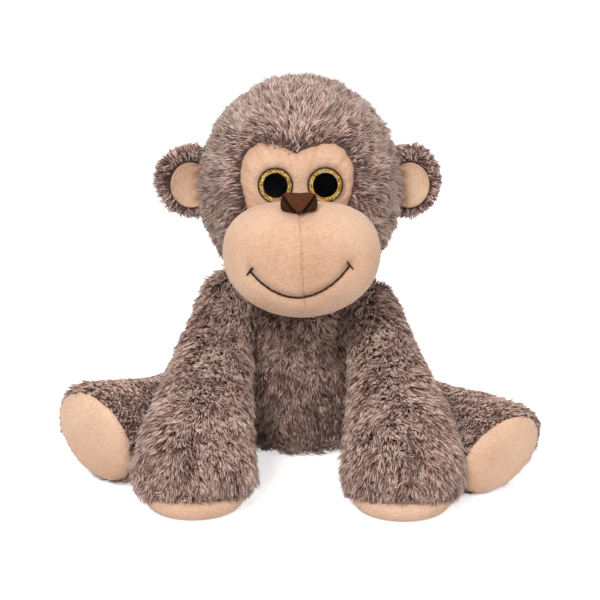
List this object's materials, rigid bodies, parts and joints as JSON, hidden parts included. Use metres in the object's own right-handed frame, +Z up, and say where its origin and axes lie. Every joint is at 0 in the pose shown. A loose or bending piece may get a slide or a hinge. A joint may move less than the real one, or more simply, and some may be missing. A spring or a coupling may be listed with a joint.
{
  "type": "stuffed monkey",
  "caption": "Seated long-pile plush monkey with a round head, wide muzzle, cupped ears, and arms and legs that end in oval pads.",
  "frame": {"origin": "centre of the flat seat under the torso, on the floor", "axes": "+Z up, the monkey faces -Y, its own left arm is on +X"},
  "size_m": [0.3575, 0.2492, 0.289],
  "materials": {
    "brown_fur": "long frosted pile, dark brown at the root and pale at the tip",
    "peach_velour": "short brushed pile",
    "brown_velvet": "short velvet pile",
    "fibre_fill": "loose polyester fibre",
    "dark_thread": "stranded embroidery and sewing thread",
    "gold_glitter": "gold glitter film with a black pupil",
    "clear_dome": "polished clear plastic",
    "black_plastic": "moulded, glossy",
    "white_plastic": "moulded, matt"
  },
  "bodies": {
    "torso": {"torso_cover": "brown_fur", "torso_stuffing": "fibre_fill", "closing_seam": "dark_thread"},
    "neck": {"neck_seam": "dark_thread"},
    "head": {"head_cover": "brown_fur", "head_stuffing": "fibre_fill", "face_patch": "peach_velour", "muzzle_cover": "peach_velour", "muzzle_stuffing": "fibre_fill", "nose": "brown_velvet", "mouth_stitching": "dark_thread", "eye_stem_left": "black_plastic", "eye_glitter_left": "gold_glitter", "eye_dome_left": "clear_dome", "eye_washer_left": "white_plastic", "eye_stem_right": "black_plastic", "eye_glitter_right": "gold_glitter", "eye_dome_right": "clear_dome", "eye_washer_right": "white_plastic"},
    "ear_left": {"ear_back_left": "brown_fur", "ear_lining_left": "peach_velour"},
    "shoulder_left": {"shoulder_seam_left": "dark_thread"},
    "arm_left": {"arm_cover_left": "brown_fur", "arm_stuffing_left": "fibre_fill", "palm_pad_left": "peach_velour"},
    "hip_left": {"hip_seam_left": "dark_thread"},
    "leg_left": {"leg_cover_left": "brown_fur", "leg_stuffing_left": "fibre_fill", "sole_pad_left": "peach_velour"},
    "ear_right": {"ear_back_right": "brown_fur", "ear_lining_right": "peach_velour"},
    "shoulder_right": {"shoulder_seam_right": "dark_thread"},
    "arm_right": {"arm_cover_right": "brown_fur", "arm_stuffing_right": "fibre_fill", "palm_pad_right": "peach_velour"},
    "hip_right": {"hip_seam_right": "dark_thread"},
    "leg_right": {"leg_cover_right": "brown_fur", "leg_stuffing_right": "fibre_fill", "sole_pad_right": "peach_velour"}
  },
  "joints": [
    {"name": "neck_turn", "type": "hinge", "parent": "torso", "child": "neck", "pos_m": [0, -0.004, 0.126], "axis": [0, 0, -1], "range_deg": [-35, 35], "stiffness_Nm_per_rad": 2},
    {"name": "neck_nod", "type": "hinge", "parent": "neck", "child": "head", "pos_m": [0, -0.004, 0.126], "axis": [-1, 0, 0], "range_deg": [-8, 12], "stiffness_Nm_per_rad": 3},
    {"name": "ear_left_fold", "type": "hinge", "parent": "head", "child": "ear_left", "pos_m": [0.0782, -0.002, 0.211], "axis": [0, 0, -1], "range_deg": [-20, 20], "stiffness_Nm_per_rad": 0.02},
    {"name": "arm_left_wave", "type": "hinge", "parent": "torso", "child": "shoulder_left", "pos_m": [0.054, -0.01, 0.106], "axis": [-0.8691, -0.3596, 0.3396], "range_deg": [0, 42], "stiffness_Nm_per_rad": 0.5},
    {"name": "arm_left_raise", "type": "hinge", "parent": "shoulder_left", "child": "arm_left", "pos_m": [0.054, -0.01, 0.106], "axis": [-0.9707, 0, 0.2402], "range_deg": [0, 22], "stiffness_Nm_per_rad": 0.5},
    {"name": "leg_left_splay", "type": "hinge", "parent": "torso", "child": "hip_left", "pos_m": [0.056, 0.004, 0.038], "axis": [0, 0, 1], "range_deg": [0, 45], "stiffness_Nm_per_rad": 0.5},
    {"name": "leg_left_lift", "type": "hinge", "parent": "hip_left", "child": "leg_left", "pos_m": [0.056, 0.004, 0.038], "axis": [-0.6006, -0.4504, 0.6606], "range_deg": [0, 40], "stiffness_Nm_per_rad": 0.5},
    {"name": "ear_right_fold", "type": "hinge", "parent": "head", "child": "ear_right", "pos_m": [-0.0782, -0.002, 0.211], "axis": [0, 0, 1], "range_deg": [-20, 20], "stiffness_Nm_per_rad": 0.02},
    {"name": "arm_right_wave", "type": "hinge", "parent": "torso", "child": "shoulder_right", "pos_m": [-0.054, -0.01, 0.106], "axis": [0.8691, -0.3596, 0.3396], "range_deg": [-42, 0], "stiffness_Nm_per_rad": 0.5},
    {"name": "arm_right_raise", "type": "hinge", "parent": "shoulder_right", "child": "arm_right", "pos_m": [-0.054, -0.01, 0.106], "axis": [0.9707, 0, 0.2402], "range_deg": [-22, 0], "stiffness_Nm_per_rad": 0.5},
    {"name": "leg_right_splay", "type": "hinge", "parent": "torso", "child": "hip_right", "pos_m": [-0.056, 0.004, 0.038], "axis": [0, 0, 1], "range_deg": [-45, 0], "stiffness_Nm_per_rad": 0.5},
    {"name": "leg_right_lift", "type": "hinge", "parent": "hip_right", "child": "leg_right", "pos_m": [-0.056, 0.004, 0.038], "axis": [0.6006, -0.4504, 0.6606], "range_deg": [-40, 0], "stiffness_Nm_per_rad": 0.5}
  ]
}
